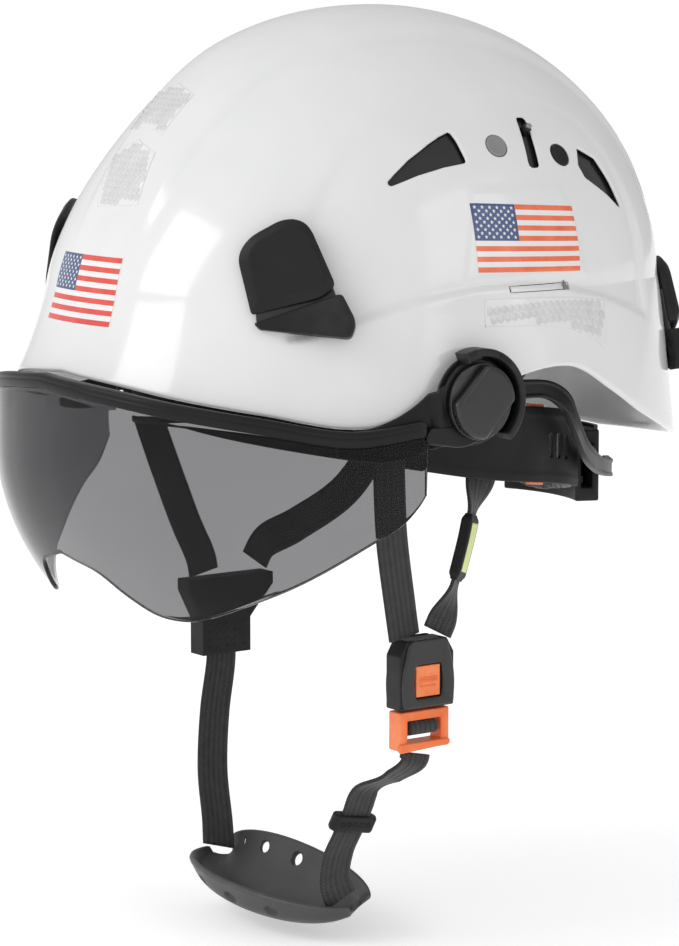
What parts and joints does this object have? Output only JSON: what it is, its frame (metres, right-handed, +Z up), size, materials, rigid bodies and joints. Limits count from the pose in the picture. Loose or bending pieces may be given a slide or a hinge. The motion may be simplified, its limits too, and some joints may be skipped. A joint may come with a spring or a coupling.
{
  "type": "safety helmet",
  "caption": "Vented safety helmet with flip-up smoke visor, side vent shutters, headlamp clips, ratchet headband and buckled chin harness.",
  "frame": {"origin": "middle of the wearer's head inside the headband, 119.5 mm under the crown", "axes": "+Z up through the crown, the wearer faces -Y, +X to the wearer's left"},
  "size_m": [0.2474, 0.2906, 0.3753],
  "materials": {
    "shell_white": "glossy injection-moulded ABS",
    "black_plastic": "fine-grained moulded nylon",
    "grey_plastic": "smooth moulded nylon",
    "smoke_lens": "smoke-tinted polycarbonate",
    "webbing": "ribbed polyester webbing",
    "foam_pad": "foam pad in knitted cloth",
    "orange_plastic": "satin moulded acetal",
    "reflective_trim": "high-visibility strip on black cloth",
    "steel": "plated steel"
  },
  "bodies": {
    "helmet": {"shell": "shell_white", "guide_plug_front_left": "grey_plastic", "guide_plug_front_right": "grey_plastic", "guide_plug_rear_left": "black_plastic", "guide_plug_rear_right": "black_plastic", "keyway_filler_left": "shell_white", "keyway_filler_right": "shell_white", "headlamp_clip_front_left": "black_plastic", "headlamp_clip_front_right": "black_plastic", "headlamp_clip_rear_left": "black_plastic", "headlamp_clip_rear_right": "black_plastic", "visor_bracket_left": "black_plastic", "visor_bracket_right": "black_plastic", "visor_bolt_left": "steel", "visor_bolt_right": "steel", "anchor_front_left": "black_plastic", "anchor_front_right": "black_plastic", "anchor_side_left": "black_plastic", "anchor_side_right": "black_plastic", "anchor_rear_left": "black_plastic", "anchor_rear_right": "black_plastic", "crown_strap_a": "webbing", "crown_strap_b": "webbing", "crown_strap_c": "webbing", "front_strap_left": "webbing", "front_strap_right": "webbing", "rear_strap_left": "webbing", "rear_strap_right": "webbing", "reflective_tab": "reflective_trim", "buckle_housing": "black_plastic", "strap_divider": "black_plastic", "divider_bar": "steel"},
    "visor": {"visor_lens": "smoke_lens", "visor_frame": "black_plastic", "visor_arm_left": "black_plastic", "visor_arm_right": "black_plastic"},
    "knob_left": {"visor_knob_left": "black_plastic"},
    "knob_right": {"visor_knob_right": "black_plastic"},
    "shutter_left": {"vent_shutter_left": "black_plastic"},
    "shutter_right": {"vent_shutter_right": "black_plastic"},
    "suspension": {"headband": "black_plastic", "sweatband": "foam_pad", "nape_pad": "foam_pad", "ratchet_housing": "black_plastic", "ratchet_cover": "black_plastic", "nape_arm_left": "black_plastic", "nape_arm_right": "black_plastic", "band_clip_left": "orange_plastic", "band_clip_right": "orange_plastic"},
    "ratchet": {"ratchet_knob": "black_plastic", "pinion": "grey_plastic"},
    "rack_left_arm": {"rack_left": "grey_plastic"},
    "rack_right_arm": {"rack_right": "grey_plastic"},
    "chin_loop": {"buckle_tongue": "orange_plastic", "lower_strap_left": "webbing", "lower_strap_right": "webbing", "chin_cup": "black_plastic"},
    "slider": {"strap_slider": "black_plastic"},
    "button": {"buckle_button": "orange_plastic"}
  },
  "joints": [
    {"name": "visor_flip", "type": "hinge", "parent": "helmet", "child": "visor", "pos_m": [0, -0.027, -0.032], "axis": [-1, 0, 0], "range_deg": [0, 33]},
    {"name": "visor_knob_left", "type": "hinge", "parent": "helmet", "child": "knob_left", "pos_m": [0.117, -0.027, -0.032], "axis": [1, 0, 0], "range_deg": [0, 90]},
    {"name": "visor_knob_right", "type": "hinge", "parent": "helmet", "child": "knob_right", "pos_m": [-0.117, -0.027, -0.032], "axis": [-1, 0, 0], "range_deg": [0, 90]},
    {"name": "vent_slide_left", "type": "hinge", "parent": "helmet", "child": "shutter_left", "pos_m": [0, 0.008, 0.008], "axis": [0, 1, 0], "range_deg": [0, 6.5]},
    {"name": "vent_slide_right", "type": "hinge", "parent": "helmet", "child": "shutter_right", "pos_m": [0, 0.008, 0.008], "axis": [0, -1, 0], "range_deg": [0, 6.5]},
    {"name": "headband_height", "type": "slide", "parent": "helmet", "child": "suspension", "axis": [0, 0, 1], "range_m": [-0.008, 0.003]},
    {"name": "ratchet_turn", "type": "hinge", "parent": "suspension", "child": "ratchet", "pos_m": [0, 0.11, -0.078], "axis": [0, 1, 0], "range_deg": [-120, 120]},
    {"name": "rack_left_slide", "type": "hinge", "parent": "suspension", "child": "rack_left_arm", "pos_m": [0, 0.044, -0.078], "axis": [0, 0, 1], "range_deg": [-9.1, 9.1]},
    {"name": "rack_right_slide", "type": "hinge", "parent": "suspension", "child": "rack_right_arm", "pos_m": [0, 0.044, -0.078], "axis": [0, 0, 1], "range_deg": [-9.1, 9.1]},
    {"name": "buckle_press", "type": "slide", "parent": "helmet", "child": "button", "axis": [-1, 0, 0], "range_m": [0, 0.0014], "stiffness_N_per_m": 900},
    {"name": "chin_strap_open", "type": "hinge", "parent": "helmet", "child": "chin_loop", "pos_m": [-0.073, -0.019, -0.151], "axis": [0, 1, 0], "range_deg": [0, 60]},
    {"name": "slider_slide", "type": "slide", "parent": "chin_loop", "child": "slider", "axis": [-0.3586, -0.1956, -0.9128], "range_m": [-0.005, 0.005]}
  ],
  "couplings": [
    {"joint": "rack_left_slide", "follows": "ratchet_turn", "ratio": -0.075758},
    {"joint": "rack_right_slide", "follows": "ratchet_turn", "ratio": 0.075758}
  ]
}
